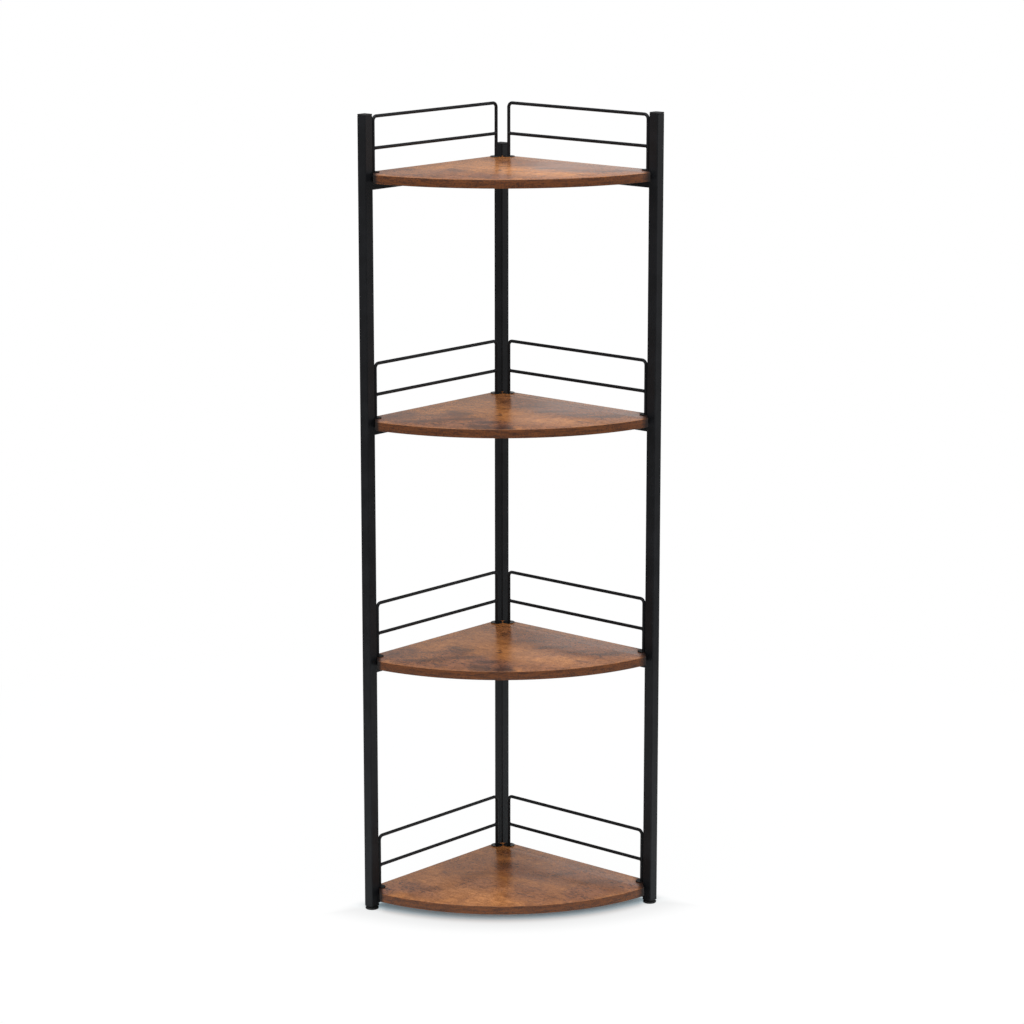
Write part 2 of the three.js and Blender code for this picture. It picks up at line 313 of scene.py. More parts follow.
# Powder-coated steel: near black, with fine orange peel and a little dust in its gloss
steelLook = {
    "colour": (0.0075, 0.0078, 0.0092, 1), "patchColour": (0.0115, 0.012, 0.014, 1),
    "roughness": 0.4, "roughnessSpread": 0.1, "specular": 0.17,
    "patchScale": 38, "patchDetail": 4, "patchRamp": (0.35, 0.7),
    "grainScale": 900, "grainDetail": 2, "grainDepth": 0.000012,
}

# Moulded plastic: duller black with a faint spark-eroded grain
plasticLook = {
    "colour": (0.006, 0.006, 0.0065, 1), "patchColour": (0.011, 0.011, 0.012, 1),
    "roughness": 0.45, "roughnessSpread": 0.14, "specular": 0.35,
    "patchScale": 160, "patchDetail": 3, "patchRamp": (0.4, 0.7),
    "grainScale": 2200, "grainDetail": 2, "grainDepth": 0.000008,
}
rearCollarLook = {**plasticLook, "roughness": 0.2}
# The front collars are a shaded copy of the plastic: less specular, so they read darker, as painted
# shade beside the front posts
shadedFrontCollarLook = {**plasticLook, "specular": 0.12}

# Zinc plating on the screws: pale grey metal with mottled gloss
zincLook = {
    "colour": (0.42, 0.43, 0.45, 1), "patchColour": (0.3, 0.3, 0.31, 1),
    "roughness": 0.26, "roughnessSpread": 0.2, "metallic": 1.0,
    "patchScale": 700, "patchDetail": 3, "patchRamp": (0.35, 0.65),
}


def softPatches(tree, place, look):
    # Colour and roughness of a finish with soft patches
    patches = tree.noise(place, look["patchScale"], look["patchDetail"]).ramp(*look["patchRamp"])
    colour = tree.mix(patches, look["colour"], look["patchColour"])
    return colour, patches.line(look["roughness"], look["roughnessSpread"])


def blackFinish(name, look):
    tree = Tree(bpy.data.materials.new(name))
    place = tree.objectCoordinates()
    colour, roughness = softPatches(tree, place, look)
    normal = tree.bump(tree.noise(place, look["grainScale"], look["grainDetail"]), look["grainDepth"])
    return tree.surface(colour, roughness, normal, Specular_IOR_Level=look["specular"])


def zincPlate(name, look):
    tree = Tree(bpy.data.materials.new(name))
    colour, roughness = softPatches(tree, tree.objectCoordinates(), look)
    return tree.surface(colour, roughness, None, Metallic=look["metallic"])


# Rustic laminate: orange-brown print with smoky patches, burns, grain streaks and fine flecks, and pale
# patches of painted sheen on the tops.
# A break pair is a base and a gain: how much the mottle, or the smoke, breaks up a layer.
woodLook = {
    "middle": (0.27, 0.094, 0.022, 1), "light": (0.5, 0.195, 0.055, 1),
    "lightWeights": (0.25, 0.25, 0.2, 0.3), "lightRamp": (0.42, 0.58),
    # The pale sheen colour multiplies the tops' colour: painted sheen, standing for the reflection of
    # the white surroundings
    "paintedSheen": (1.3, 1.36, 1.5, 1), "paintedSheenFade": 0.6, "paintedSheenBreak": (0.3, 1.2),
    "smoke": (0.5, 0.48, 0.95, 1), "smokeFade": 0.55, "smokeBreak": (0.25, 1.3),
    "hazeRamp": (0.5, 0.66), "hazeStrength": 0.45,
    "burn": (0.16, 0.15, 0.3, 1), "burnFade": 0.5, "strokeFade": 0.6, "burnBreak": (0.4, 1.1),
    "fleck": (0.3, 0.25, 0.28, 1), "fleckRamp": (0.5, 0.66), "fleckBreak": (0.5, 0.8),
    "veinWidths": (0.012, 0.05), "veinRamp": (0.46, 0.6), "veinBreak": (0.2, 0.9),
    "bandDark": (0.05, 0.011, 0.0005, 1), "bandLight": (0.17, 0.046, 0.004, 1),
    "bandWeights": (0.45, 0.15, 0.4), "bandRamp": (0.41, 0.57),
    "wanderScale": 16, "wanderDetail": 6, "wanderRoughness": 0.68, "wander": 0.1, "burnWander": 0.4,
    "roughness": 0.17, "roughnessSpread": 0.14, "bandRoughness": 0.3, "specular": 0.5,
    "poreDepth": 0.00003, "poreStrength": 0.6,
    # The tip shade and the tip ranges paint contact shadow onto the slanted ends
    "tipShade": (0.07, 0.05, 0.045, 1), "leftTip": (0.1805, 0.1858), "rightTip": (0.1742, 0.1865),
}

# Noise layers: shift and stretch along x and y, then scale, detail, roughness and distortion
woodLayers = {
    "haze": ((2.7, 5.9), (1, 1), 13, 6, 0.66, 0.4),
    "cloud": ((0, 0), (1, 1), 30, 6, 0.68, 0.3),
    "mottle": ((0, 0), (0.85, 1.15), 115, 4, 0.7, 0),
    "streak": ((0, 0), (0.25, 2.2), 36, 6, 0.7, 0.3),
    "fleck": ((0, 0), (0.7, 1.2), 210, 4, 0.7, 0),
    "speck": ((0, 0), (1, 1), 480, 3, 0.6, 0),
    "vein": ((0, 0), (0.8, 1.2), 34, 5, 0.7, 0.6),
    "grain": ((0, 0), (1.1, 9), 36, 5, 0.7, 0),
}

# Where the prints have their marks, in metres on the board: centre x and y, half lengths along x
# and y, and strength. The strokes' axes are turned 45 degrees, so that they run across the board.
# Smoke patches at both tips, beside the front posts, are painted shade: they darken the tops where the
# posts' shade falls
paintedPostShadePatches = ((0.281, -0.023, 0.022, 0.022, 0.9), (0.019, -0.283, 0.016, 0.018, 1.0))
upperPrint = {
    "offset": (0.0, 0.0),
    "patches": ((0.165, -0.052, 0.125, 0.04, 0.65), (0.228, -0.066, 0.05, 0.02, 0.7),
                (0.235, -0.02, 0.085, 0.022, 0.75), (0.085, -0.21, 0.035, 0.035, 0.65),
                (0.07, -0.262, 0.06, 0.022, 0.75), (0.125, -0.238, 0.04, 0.028, 0.75),
                (0.02, -0.245, 0.035, 0.035, 0.65), (0.155, -0.205, 0.042, 0.028, 0.85),
                (0.263, -0.1, 0.022, 0.05, 0.45), (0.22, -0.165, 0.03, 0.03, 0.5), *paintedPostShadePatches),
    "burns": ((0.192, -0.214, 0.018, 0.013, 0.9), (0.178, -0.203, 0.012, 0.01, 0.6),
              (0.166, -0.231, 0.024, 0.012, 0.7), (0.254, -0.158, 0.018, 0.012, 0.4),
              (0.078, -0.184, 0.018, 0.012, 0.4), (0.126, -0.144, 0.004, 0.005, 0.9),
              (0.117, -0.137, 0.003, 0.003, 0.8), (0.062, -0.062, 0.009, 0.008, 0.45)),
    "strokes": ((0.062, -0.171, 0.03, 0.008, 0.5), (0.139, -0.206, 0.035, 0.009, 0.55),
                (0.096, -0.188, 0.03, 0.006, 0.4), (0.032, -0.131, 0.025, 0.006, 0.3),
                (-0.06, -0.1765, 0.016, 0.008, 0.6), (-0.075, -0.166, 0.016, 0.007, 0.5),
                (-0.083, -0.157, 0.014, 0.005, 0.4), (-0.123, -0.2224, 0.03, 0.01, 0.5),
                (-0.155, -0.196, 0.025, 0.014, 0.4), (-0.11, -0.183, 0.03, 0.006, 0.35),
                (-0.069, -0.217, 0.03, 0.009, 0.55), (-0.038, -0.2416, 0.022, 0.009, 0.55)),
    # Pale sheen marks: painted reflection on the tops, not print
    "paintedSheens": ((0.19, -0.122, 0.12, 0.034, 1.0), (0.035, -0.12, 0.035, 0.06, 0.6),
              (0.06, -0.14, 0.05, 0.02, 0.5), (0.045, -0.205, 0.02, 0.02, 0.5)),
}
# The top board's print lacks the burns at its front edge and the strokes on its left
topPrint = {**upperPrint, "burns": upperPrint["burns"][3:], "strokes": upperPrint["strokes"][:4]}
lowestPrint = {
    "offset": (1.37, 0.71),
    "patches": ((0.036, -0.117, 0.045, 0.04, 0.35), (0.117, -0.08, 0.05, 0.03, 0.6),
                (0.215, -0.045, 0.085, 0.045, 0.65), (0.25, -0.095, 0.03, 0.055, 0.7),
                (0.19, -0.15, 0.05, 0.03, 0.5), (0.11, -0.17, 0.04, 0.03, 0.45),
                (0.045, -0.255, 0.045, 0.025, 0.6), *paintedPostShadePatches),
    "burns": ((0.08, -0.08, 0.022, 0.02, 0.5), (0.045, -0.045, 0.02, 0.02, 0.5)),
    "strokes": ((0.06, -0.16, 0.04, 0.01, 0.35), (-0.05, -0.15, 0.03, 0.009, 0.3),
                (-0.12, -0.215, 0.03, 0.01, 0.3), (0.12, -0.2, 0.04, 0.01, 0.35)),
    # Pale sheen marks: painted reflection on the top, not print
    "paintedSheens": ((0.152, -0.205, 0.04, 0.03, 0.9), (0.09, -0.235, 0.03, 0.02, 0.6)),
}


def woodLayer(tree, place, name):
    shift, stretch, *shape = woodLayers[name]
    return tree.noise(tree.scaled(tree.moved(place, *shift, 0), *stretch, 1), *shape)


def weighted(layers, weights):
    # Weighted sum of noise layers
    total = layers[0] * weights[0]
    for layer, weight in zip(layers[1:], weights[1:]):
        total = total + layer * weight
    return total


def markShare(tree, place, marks, fade):
    # Where the marks lie: each one fades about its outline over a share of its half lengths
    share = None
    for x, y, halfX, halfY, strength in marks:
        offCentre = tree.scaled(tree.moved(place, -x, -y, 0), 1 / halfX, 1 / halfY, 0)
        inside = (1 - tree.length(offCentre)).ramp(-fade, fade) * strength
        share = inside if share is None else share.larger(inside)
    return share


def tipShadeShare(tree, look):
    # Painted contact shadow: both slanted ends are darkened, over a wider stretch at the right, where
    # they lie beside the front posts
    across = tree.along(tree.diagonal(tree.objectCoordinates()), "X")
    return across.ramp(*look["rightTip"]).larger((0 - across).ramp(*look["leftTip"]))


def rusticLaminate(name, look, marks):
    # The grain layer is a UV map in metres: across the top it is the place on the board, and on the
    # edge band it is the length along the edge and the height. The band attribute is 1 on the edge.
    tree = Tree(bpy.data.materials.new(name))
    place = tree.add("ShaderNodeUVMap", {"uv_map": "grain"})
    band = tree.add("ShaderNodeAttribute", {"attribute_name": "band"}, output="Fac")
    onTop = 1 - band
    shifted = tree.moved(place, *marks["offset"], 0)
    haze = woodLayer(tree, shifted, "haze")
    cloud = woodLayer(tree, shifted, "cloud")
    mottle = woodLayer(tree, shifted, "mottle")
    streak = woodLayer(tree, shifted, "streak")
    flecks = woodLayer(tree, shifted, "fleck")
    specks = woodLayer(tree, shifted, "speck")
    # Ragged borders: the place wanders by a coloured noise before the marks are laid out
    wander = tree.noise(shifted, look["wanderScale"], look["wanderDetail"], look["wanderRoughness"],
                        output="Color")
    wander = tree.scaled(tree.moved(wander, *(-noiseMiddle,) * 3), *(look["wander"],) * 3)
    ragged = tree.vector("ADD", place, wander)
    nearly = tree.vector("ADD", place, tree.scaled(wander, look["burnWander"], look["burnWander"], 0))

    lightShare = weighted((cloud, mottle, streak, specks), look["lightWeights"]).ramp(*look["lightRamp"])
    colour = tree.mix(lightShare, look["middle"], look["light"])
    # Painted sheen: pale patches on the tops stand in for the reflection of the white surroundings
    paintedSheenShare = markShare(tree, ragged, marks["paintedSheens"], look["paintedSheenFade"]) * onTop
    colour = tree.mix(paintedSheenShare * mottle.line(*look["paintedSheenBreak"]), colour, look["paintedSheen"], "MULTIPLY")

    smokeShare = markShare(tree, ragged, marks["patches"], look["smokeFade"]) * onTop
    smokeShare = smokeShare.larger(haze.ramp(*look["hazeRamp"]) * look["hazeStrength"])
    smokeShare = smokeShare * mottle.line(*look["smokeBreak"])
    colour = tree.mix(smokeShare, colour, look["smoke"], "MULTIPLY")

    burnShare = markShare(tree, nearly, marks["burns"], look["burnFade"])
    strokeShare = markShare(tree, tree.diagonal(nearly), marks["strokes"], look["strokeFade"])
    burnShare = burnShare.larger(strokeShare) * onTop
    colour = tree.mix(burnShare * mottle.line(*look["burnBreak"]), colour, look["burn"], "MULTIPLY")

    fleckShare = flecks.ramp(*look["fleckRamp"]) * smokeShare.line(*look["fleckBreak"])
    colour = tree.mix(fleckShare, colour, look["fleck"], "MULTIPLY")
    # Short dark veins run where a noise crosses its middle value
    vein = (woodLayer(tree, shifted, "vein") - noiseMiddle).math("ABSOLUTE")
    veinShare = (1 - vein.ramp(*look["veinWidths"])) * streak.ramp(*look["veinRamp"])
    veinShare = veinShare * smokeShare.line(*look["veinBreak"]) * onTop
    colour = tree.mix(veinShare, colour, look["burn"], "MULTIPLY")

    # The edge band is darker and more even, with fine grain along its length
    grain = woodLayer(tree, place, "grain")
    bandShare = weighted((grain, mottle, specks), look["bandWeights"]).ramp(*look["bandRamp"])
    colour = tree.mix(band, colour, tree.mix(bandShare, look["bandDark"], look["bandLight"]))
    # Painted contact shadow darkens the tips beside the front posts, and makes them rougher there
    shadeShare = tipShadeShare(tree, look)
    colour = tree.mix(shadeShare, colour, look["tipShade"], "MULTIPLY")
    roughness = cloud.line(look["roughness"], look["roughnessSpread"]) \
        + (band + shadeShare) * look["bandRoughness"]
    normal = tree.bump(flecks, look["poreDepth"], look["poreStrength"])
    return tree.surface(colour, roughness, normal, Specular_IOR_Level=look["specular"])


postSteel = blackFinish("post powder coat", steelLook)
barSteel = blackFinish("bar powder coat", steelLook)
railSteel = blackFinish("rail powder coat", steelLook)
capPlastic = blackFinish("cap plastic", plasticLook)
insertPlastic = blackFinish("insert plastic", plasticLook)
footPlastic = blackFinish("foot plastic", plasticLook)
collarPlastics = {"rear": blackFinish("rear collar plastic", rearCollarLook),
                  "front": blackFinish("front collar plastic", shadedFrontCollarLook)}
screwZinc = zincPlate("screw zinc", zincLook)
upperLaminate = rusticLaminate("upper board laminate", woodLook, upperPrint)
topLaminate = rusticLaminate("top board laminate", woodLook, topPrint)
lowestLaminate = rusticLaminate("lowest board laminate", woodLook, lowestPrint)
print("materials made")


# Posts: square tube with rounded corners and eased rims
postValues = {"corner": 1.6 * mm, "cornerSteps": 8, "leastCorner": 0.4 * mm, "support": 0.48 * mm,
              "wall": 1.0 * mm, "ease": 0.18 * mm, "bead": 0, "beadLength": 0, "beadSteps": 0}
for post in postNames:
    low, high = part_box(f"{post}_post")
    side = high.x - low.x
    part = loopedRings(tubeRings(postValues, side, side, high.z - low.z))
    addPiece(f"{post}_post", part, postSteel, place=boxBase(low, high))
print("posts made")


# Crossbars: rectangular tube with a weld bead at each end and a screw tab under the board
barValues = {
    "width": 10 * mm, "corner": 1.4 * mm, "cornerSteps": 5, "leastCorner": 0.35 * mm,
    "support": 0.42 * mm, "wall": 1.0 * mm, "ease": 0.15 * mm,
    "bead": 0.7 * mm, "beadLength": 1.3 * mm, "beadSteps": 6,
    "tabLength": 26 * mm, "tabReach": 16 * mm, "tabThickness": 2 * mm, "tabCorner": 3 * mm,
    "tabCornerSteps": 8, "tabSupport": 1 * mm, "tabEase": 0.2 * mm, "tabEdge": 0.3 * mm,
    "tabHole": 2.05 * mm,
}


def tabPart(values):
    # A plate round its hole: the outline's points and the hole's lie at the same angles
    depth = values["tabReach"] + values["wall"] / 2
    outline = roundedSection(values["tabLength"], depth, values["tabCorner"],
                             values["tabCornerSteps"], values["tabSupport"])
    angles = np.arctan2(outline[:, 1], outline[:, 0])
    hole = np.stack([np.cos(angles), np.sin(angles)], -1) * values["tabHole"]
    edge = outline * (1 - values["tabEdge"] / depth)
    thickness, ease = values["tabThickness"], values["tabEase"]
    rings = ((outline, ease), (outline, thickness - ease), (edge, thickness), (hole, thickness),
             (hole, 0), (edge, 0))
    return loopedRings(np.array([atHeight(ring, z) for ring, z in rings]))


def barPart(values, low, high):
    # A crossbar from one post's face to the other's, with its tab at the middle of its length
    length, height = high.x - low.x, high.z - low.z
    middle = high.y - values["width"] / 2
    points, faces = loopedRings(tubeRings(values, values["width"], height, length))
    points = np.stack([low.x + points[:, 2], middle + points[:, 0],
                       low.z + height / 2 + points[:, 1]], -1)
    tabPoints, tabFaces = tabPart(values)
    tabInner = middle - values["width"] / 2 - values["tabReach"]
    tabMiddle = tabInner + (values["tabReach"] + values["wall"] / 2) / 2
    tabPoints = tabPoints + [low.x + length / 2, tabMiddle, high.z - values["tabThickness"]]
    return joinParts((points, faces), (tabPoints, tabFaces))


for number in tierNumbers:
    for side in sideNames:
        node = f"{side}_bar_{number}"
        part = barPart(barValues, *sideBox(node, side))
        addPiece(node, sidePart(part, side), barSteel)
print("crossbars made")


# Boards: quarter round with a rounded back corner, slanted ends beside the front posts,
# and eased edges
boardValues = {
    "radius": 296 * mm, "backRound": 25 * mm, "tipRound": 4 * mm, "tipSlant": 46,  # degrees
    "ease": 0.6 * mm, "easeSteps": 4, "postCorner": 1.6 * mm, "fit": 0.3 * mm, "seat": 0.3 * mm,
    "edgeSteps": 29, "endSteps": 7, "tipSteps": 12, "frontSteps": 170, "backSteps": 24,
    "holeRadius": 2.8 * mm, "holeDepth": 7.3 * mm,
    "pilotRadius": 2.05 * mm, "pilotDepth": 8.3 * mm, "holeSides": 24,
    "easedRows": 2,  # rows at the edge's top and bottom that look like the flats
}
railLow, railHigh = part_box("right_guard_rail_1")
wireRadius = (railHigh.y - railLow.y) / 2
railPlaces = {"rear": railLow.x + wireRadius, "front": railHigh.x - wireRadius}
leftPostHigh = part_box("left_post")[1]
postInner, postAcross = -leftPostHigh.y, leftPostHigh.x  # a front post's face towards the back one


def collarCentre(number, side, end):
    # The bore's centre in the side's own coordinates: a trimmed collar's box isn't centred on it
    low, high = sideBox(f"{side}_{end}_collar_{number}", side)
    return railPlaces[end], (low.y + high.y) / 2


def tipCentre(values):
    # Centre of a tip's round, across from the wall and along it: on a line that clears the post's
    # corner by the fit, where the round also touches the front arc
    slant = math.radians(values["tipSlant"])
    heading = np.array([math.sin(slant), math.cos(slant)])
    clear = values["postCorner"] + values["fit"] + values["tipRound"]
    start = np.array([postAcross - values["postCorner"] + clear * heading[1],
                      postInner + values["postCorner"] - clear * heading[0]])
    forward = start @ heading
    room = (values["radius"] - values["tipRound"]) ** 2 - start @ start
    return start + heading * (math.sqrt(forward ** 2 + room) - forward)


def boardOutline(values, inset, edge):
    # Outline points in the row frame, anticlockwise, inset from the full size. The left half's points
    # (x, y), from the back corner to the front arc, become (-y, -x) on the right
    slant = math.radians(values["tipSlant"])
    sine, cosine = math.sin(slant), math.cos(slant)
    tip = tipCentre(values)
    tipDegrees = math.degrees(math.atan2(tip[0], tip[1]))
    tipRound = values["tipRound"] - inset
    low, high = edge + inset, postInner - values["seat"] - inset
    slantStart = tip + tipRound * np.array([-cosine, sine])
    bend = slantStart[0] - (slantStart[1] - high) * sine / cosine
    back = edge + values["backRound"]
    left = np.vstack([
        np.linspace((low, -back), (low, -high), values["edgeSteps"] + 1)[:-1],
        np.linspace((low, -high), (bend, -high), values["endSteps"] + 1)[:-1],
        np.linspace((bend, -high), (slantStart[0], -slantStart[1]), values["endSteps"] + 1)[:-1],
        roundCorner((tip[0], -tip[1]), tipRound, 180 + values["tipSlant"], 270 + tipDegrees,
                    values["tipSteps"])])
    front = roundCorner((0, 0), values["radius"] - inset, 270 + tipDegrees, 360 - tipDegrees,
                        values["frontSteps"])[1:-1]
    rear = roundCorner((back, -back), values["backRound"] - inset, 90, 180, values["backSteps"])[1:-1]
    return np.vstack([left, front, -left[::-1, ::-1], rear])


def boardRings(values, low, high):
    # The outline at each level: a quarter round of ease at the bottom and one at the top
    quarter = np.radians(np.linspace(0, 90, values["easeSteps"] + 1))
    insets = values["ease"] * (1 - np.sin(quarter))
    rises = values["ease"] * (1 - np.cos(quarter))
    levels = [*zip(insets, low.z + rises), *zip(insets[::-1], high.z - rises[::-1])]
    return np.array([atHeight(boardOutline(values, inset, low.x), z) for inset, z in levels])


def flatFaces(points, loops, upwards):
    # Triangles of a flat between the board's outline and the rims of its holes
    corners = [i for loop in loops for i in loop]
    shape = [[Vector(points[i]) for i in loop] for loop in loops]
    faces = []
    for triangle in tessellate_polygon(shape):
        a, b, c = (corners[i] for i in triangle)
        turn = np.cross(points[b] - points[a], points[c] - points[a])[2]
        faces.append([a, b, c] if (turn > 0) == upwards else [a, c, b])
    return faces


def boardPart(values, rings, low, high, holes, pilots):
    # The rings' sides, and two flats with a blind hole at each leg above and each screw below
    count = rings.shape[1]
    points = rings.reshape(-1, 3)
    start = len(points)
    faces = ringQuads(len(rings), count).tolist()
    sides = values["holeSides"]
    for onTop, centres, radius, depth, outline in (
            (True, holes, values["holeRadius"], values["holeDepth"], range(start - count, start)),
            (False, pilots, values["pilotRadius"], values["pilotDepth"], range(count))):
        loops = [list(outline)]
        outer = high.z if onTop else low.z
        inner = outer - depth if onTop else outer + depth
        for centre in centres:
            circle = circlePoints(radius, sides) + centre
            start = len(points)
            points = np.vstack([points, atHeight(circle, outer), atHeight(circle, inner)])
            hole = ringQuads(2, sides, start=start).tolist()
            hole.append(list(range(start + sides, start + 2 * sides)))
            faces += hole if onTop else [face[::-1] for face in hole]
            loops.append(list(range(start, start + sides)))
        faces += flatFaces(points, loops, onTop)
    return points, faces


def addGrain(piece, points, rings, easedRows):
    # The grain layer and the band attribute that the laminate reads: on the edge band u is the length
    # along the outline and v the height
    mesh = piece.data
    rowCount, count = len(rings) - 1, rings.shape[1]
    cornerPoints = np.empty(len(mesh.loops), dtype=np.int64)
    mesh.loops.foreach_get("vertex_index", cornerPoints)
    faceSizes = np.empty(len(mesh.polygons), dtype=np.int64)
    mesh.polygons.foreach_get("loop_total", faceSizes)
    cornerFaces = np.repeat(np.arange(len(faceSizes)), faceSizes)
    place = points[cornerPoints]
    outline = rings[len(rings) // 2]
    steps = np.linalg.norm(np.roll(outline, -1, axis=0) - outline, axis=1)
    lengths = np.concatenate([[0], np.cumsum(steps)])
    onEdge = cornerFaces < rowCount * count
    column = np.where(onEdge, cornerPoints % count, 0)
    closing = onEdge & (cornerFaces % count == count - 1) & (column == 0)
    column = np.where(closing, count, column)
    u = np.where(onEdge, lengths[column], place[:, 0])
    v = np.where(onEdge, place[:, 2], place[:, 1])
    layer = mesh.uv_layers.new(name="grain")
    layer.data.foreach_set("uv", np.stack([u, v], -1).ravel())
    row = cornerFaces // count
    isBand = onEdge & (row >= easedRows) & (row < rowCount - easedRows)
    band = mesh.attributes.new("band", "FLOAT", "CORNER")
    band.data.foreach_set("value", isBand.astype(np.float32))


for number in tierNumbers:
    node = f"shelf_board_{number}"
    low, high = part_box(node)
    holes = [sidePlace(*collarCentre(number, side, end), side) for side in sideNames for end in railEnds]
    pilots = [boxBase(*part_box(f"{side}_board_screw_{number}"))[:2] for side in sideNames]
    rings = boardRings(boardValues, low, high)
    part = boardPart(boardValues, rings, low, high, holes, pilots)
    laminate = {1: lowestLaminate, len(tierNumbers): topLaminate}.get(number, upperLaminate)
    piece = addPiece(node, part, laminate)
    addGrain(piece, part[0], rings, boardValues["easedRows"])
print("boards made")


# Guard rails: one bent wire with a middle wire welded between its legs
railValues = {"bend": 6.5 * mm, "bendSteps": 10, "support": 2 * mm, "middle": 32.7 * mm, "sides": 20,
              "weld": 0.8 * mm, "weldLength": 1.5 * mm, "weldSteps": 7, "sharpDegrees": 50,
              # Shares of the wire's radius, from a leg's axis: the rod's end, its size and the weld
              "rodPlaceShare": 0.3, "rodEndShare": 0.9, "weldPlaceShare": 0.8}


def hoopPart(values, low, high, radius):
    # A circle carried along the bent wire: up one leg, round both bends and down the other. Each ring
    # lies across the wire, with one axis in the hoop's plane and the other across it
    start, end = low.x + radius, high.x - radius
    top, bend = high.z - radius, values["bend"]
    angles = np.radians(np.linspace(90, 0, values["bendSteps"] + 1))
    rise = np.stack([start + bend * (1 - np.sin(angles)), top - bend * (1 - np.cos(angles))], -1)
    fall = rise[::-1] * (-1, 1) + (start + end, 0)
    straight = top - bend - values["support"]
    path = np.vstack([(start, low.z), (start, straight), rise, fall, (end, straight), (end, low.z)])
    upright = math.pi / 2
    heading = np.concatenate([[upright] * 2, angles, -angles[::-1], [-upright] * 2])[:, None]
    circle = circlePoints(radius, values["sides"])
    x = path[:, :1] - np.sin(heading) * circle[:, 1]
    y = (low.y + high.y) / 2 - circle[:, 0] + np.zeros_like(x)
    z = path[:, 1:] + np.cos(heading) * circle[:, 1]
    return closedRings(np.stack([x, y, z], -1))


def middleWirePart(values, low, high, radius, height):
    # A turned rod between the legs that swells into a weld at each, as the square of what is left of
    # the weld's length
    start, length = low.x + radius, high.x - low.x - 2 * radius
    t = np.linspace(0, 1, values["weldSteps"] + 1)
    near = np.stack([radius + values["weld"] * (1 - t) ** 2,
                     radius * values["weldPlaceShare"] + t * values["weldLength"]], -1)
    near = np.vstack([(radius * values["rodEndShare"], radius * values["rodPlaceShare"]), near])
    far = near[::-1] * (1, -1) + (0, length)
    points, faces = closedRings(turnedRings(np.vstack([near, far]), values["sides"]))
    plane = (low.y + high.y) / 2
    return np.stack([start + points[:, 2], plane + points[:, 0], height + points[:, 1]], -1), faces


for number in tierNumbers:
    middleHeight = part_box(f"shelf_board_{number}")[1].z + railValues["middle"]
    for side in sideNames:
        node = f"{side}_guard_rail_{number}"
        low, high = sideBox(node, side)
        part = joinParts(hoopPart(railValues, low, high, wireRadius),
                         middleWirePart(railValues, low, high, wireRadius, middleHeight))
        addPiece(node, sidePart(part, side), railSteel,
                 sharpDegrees=railValues["sharpDegrees"])
print("guard rails made")


# Collars: flat ring round each leg on the board, trimmed beside the front posts
collarValues = {"radius": 8.4 * mm, "bore": 2.8 * mm, "thickness": 1.2 * mm, "ease": 0.4 * mm,
                "easeSteps": 6, "lip": 0.15 * mm, "lipSteps": 4, "chamfer": 0.1 * mm,
                "seat": 0.3 * mm, "fit": 0.3 * mm, "sides": 64}


def collarPart(values, trim):
    # A turned ring with an eased rim and a lip at its bore. Points past the trim slide back onto it
    top, ease, lip, chamfer = values["thickness"], values["ease"], values["lip"], values["chamfer"]
    profile = np.vstack([
        (values["bore"], values["seat"]), (values["radius"] - chamfer, values["seat"]),
        (values["radius"], values["seat"] + chamfer),
        roundCorner((values["radius"] - ease, top - ease), ease, 0, 90, values["easeSteps"]),
        roundCorner((values["bore"] + lip, top - lip), lip, 90, 180, values["lipSteps"])])
    rings = turnedRings(profile, values["sides"])
    rings[..., 0] = np.minimum(rings[..., 0], trim)
    return loopedRings(rings)


collarTrims = {"rear": collarValues["radius"],
               "front": postInner - collarValues["fit"] - railPlaces["front"]}
for number in tierNumbers:
    for side in sideNames:
        for end in railEnds:
            node = f"{side}_{end}_collar_{number}"
            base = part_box(node)[1].z - collarValues["thickness"]
            points, faces = collarPart(collarValues, collarTrims[end])
            points = points + [*collarCentre(number, side, end), base]
            addPiece(node, sidePart((points, faces), side), collarPlastics[end])
print("collars made")


# Caps' and inserts' plugs: a square core with fins that grip the post's wall
plugValues = {"core": 9 * mm, "corner": 0.7 * mm, "fins": 2, "finThickness": 1.4 * mm,
              "finRise": 0.3 * mm, "wall": 1.0 * mm, "fit": 0.3 * mm, "postCorner": 1.6 * mm,
              "cornerSteps": 6, "support": 0.15 * mm}


def squareRings(levels, values):
    # Rings of stacked rounded squares: rows of side, corner radius and height
    return np.array([atHeight(roundedSection(side, side, corner, values["cornerSteps"],
                                             values["support"]), z) for side, corner, z in levels])


def plugLevels(values, bottom, top, postSide):
    # Levels of a plug's core with its fins, from bottom to top
    core = (values["core"], values["corner"])
    fin = (postSide - 2 * (values["wall"] + values["fit"]), values["corner"])
    pitch = (top - bottom) / values["fins"]
    levels = [(*core, bottom)]
    for index in range(values["fins"]):
        low = bottom + (index + 0.5) * pitch
        high = low + values["finThickness"]
        levels += [(*core, low), (*fin, low + values["finRise"]), (*fin, high), (*core, high)]
    return levels + [(*core, top)]


# Top caps: a square plate with eased rim over a plug in the post
capValues = {"ease": 0.8 * mm, "easeSteps": 6, "leastCorner": 0.5 * mm, "chamfer": 0.1 * mm,
             "seat": 0.3 * mm, "thickness": 2.4 * mm}


def capPart(values, plug, side, height):
    # The plug's levels, then the plate's: its rim draws in by the ease times one less the cosine while
    # it rises by the ease times the sine
    corner, ease, chamfer = plug["postCorner"], values["ease"], values["chamfer"]
    base = height - values["thickness"]
    seat = base + values["seat"]
    levels = plugLevels(plug, 0, base, side)
    levels += [(side - 2 * chamfer, corner - chamfer, seat), (side, corner, seat + chamfer)]
    for angle in np.radians(np.linspace(0, 90, values["easeSteps"] + 1)):
        inset = ease * (1 - math.cos(angle))
        levels.append((side - 2 * inset, max(corner - inset, values["leastCorner"]),
                       height - ease * (1 - math.sin(angle))))
    return closedRings(squareRings(levels, plug))


